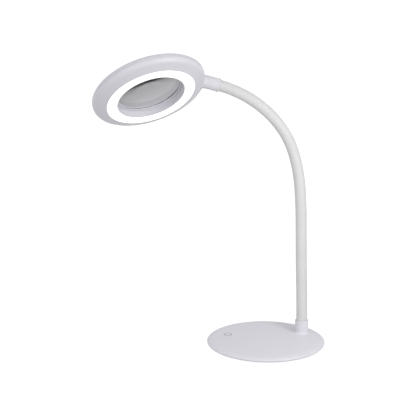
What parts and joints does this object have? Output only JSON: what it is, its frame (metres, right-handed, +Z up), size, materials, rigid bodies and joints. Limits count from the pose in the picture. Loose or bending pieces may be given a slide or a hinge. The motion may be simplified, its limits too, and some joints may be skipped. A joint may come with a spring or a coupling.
{
  "type": "magnifying desk lamp",
  "caption": "Ring-lit magnifying lamp: a lens inside an LED ring head, on a sleeved gooseneck above a thin round weighted base with a touch switch.",
  "frame": {"origin": "centre of the round base, on the surface that the lamp stands on", "axes": "+Z up; +X from the side that the head hangs over towards the side that the neck stands on; -Y towards the user"},
  "size_m": [0.3627, 0.1874, 0.473],
  "materials": {
    "white_plastic": "fine satin moulding",
    "sleeve": "soft vinyl",
    "steel": "plain",
    "rubber": "matt",
    "circuit_board": "solder mask",
    "copper": "plain",
    "diffuser": "milky, lit from behind",
    "mark": "printed inlay",
    "lens_glass": "polished"
  },
  "bodies": {
    "base": {"base_top_shell": "white_plastic", "base_bottom_plate": "white_plastic", "non_slip_pad": "rubber", "ballast_plate": "steel", "touch_ring": "mark", "touch_electrode": "copper", "control_board": "circuit_board", "power_inlet": "steel", "neck_base_fitting": "steel", "neck_nut": "steel", "base_screw_1": "steel", "base_screw_2": "steel", "base_screw_3": "steel", "base_screw_4": "steel", "neck_sleeve_1": "sleeve", "neck_core_1": "steel"},
    "neck_2": {"neck_sleeve_2": "sleeve", "neck_core_2": "steel"},
    "neck_3": {"neck_sleeve_3": "sleeve", "neck_core_3": "steel"},
    "neck_4": {"neck_sleeve_4": "sleeve", "neck_core_4": "steel"},
    "neck_5": {"neck_sleeve_5": "sleeve", "neck_core_5": "steel"},
    "neck_6": {"neck_sleeve_6": "sleeve", "neck_core_6": "steel"},
    "neck_7": {"neck_sleeve_7": "sleeve", "neck_core_7": "steel"},
    "neck_8": {"neck_sleeve_8": "sleeve", "neck_core_8": "steel", "neck_end_fitting": "steel", "swivel_washer": "steel", "swivel_nut": "steel"},
    "head": {"head_bottom_shell": "white_plastic", "head_top_shell": "white_plastic", "led_board": "circuit_board", "diffuser_ring": "diffuser", "lens": "lens_glass", "lens_gasket": "rubber", "lens_retaining_ring": "white_plastic", "head_screw_1": "steel", "head_screw_2": "steel", "head_screw_3": "steel", "head_screw_4": "steel"}
  },
  "joints": [
    {"name": "neck_bend_1", "type": "hinge", "parent": "base", "child": "neck_2", "pos_m": [0.05858, 0.032, 0.08659], "axis": [0, 1, 0], "range_deg": [-20, 20]},
    {"name": "neck_sway_1", "type": "hinge", "parent": "neck_2", "child": "neck_3", "pos_m": [0.05699, 0.032, 0.14177], "axis": [0.9997, 0, 0.0227], "range_deg": [-20, 20]},
    {"name": "neck_bend_2", "type": "hinge", "parent": "neck_3", "child": "neck_4", "pos_m": [0.05584, 0.032, 0.19695], "axis": [0, 1, 0], "range_deg": [-20, 20]},
    {"name": "neck_sway_2", "type": "hinge", "parent": "neck_4", "child": "neck_5", "pos_m": [0.0529, 0.032, 0.25206], "axis": [0.9962, 0, 0.0872], "range_deg": [-20, 20]},
    {"name": "neck_bend_3", "type": "hinge", "parent": "neck_5", "child": "neck_6", "pos_m": [0.04239, 0.032, 0.30615], "axis": [0, 1, 0], "range_deg": [-20, 20]},
    {"name": "neck_sway_3", "type": "hinge", "parent": "neck_6", "child": "neck_7", "pos_m": [0.01663, 0.032, 0.35459], "axis": [0.7771, 0, 0.6293], "range_deg": [-20, 20]},
    {"name": "neck_bend_4", "type": "hinge", "parent": "neck_7", "child": "neck_8", "pos_m": [-0.02431, 0.032, 0.39126], "axis": [0, 1, 0], "range_deg": [-20, 20]},
    {"name": "head_swivel", "type": "hinge", "parent": "neck_8", "child": "head", "pos_m": [-0.07451, 0.032, 0.41372], "axis": [-0.9636, 0, 0.2672], "range_deg": [-133, 47]}
  ]
}
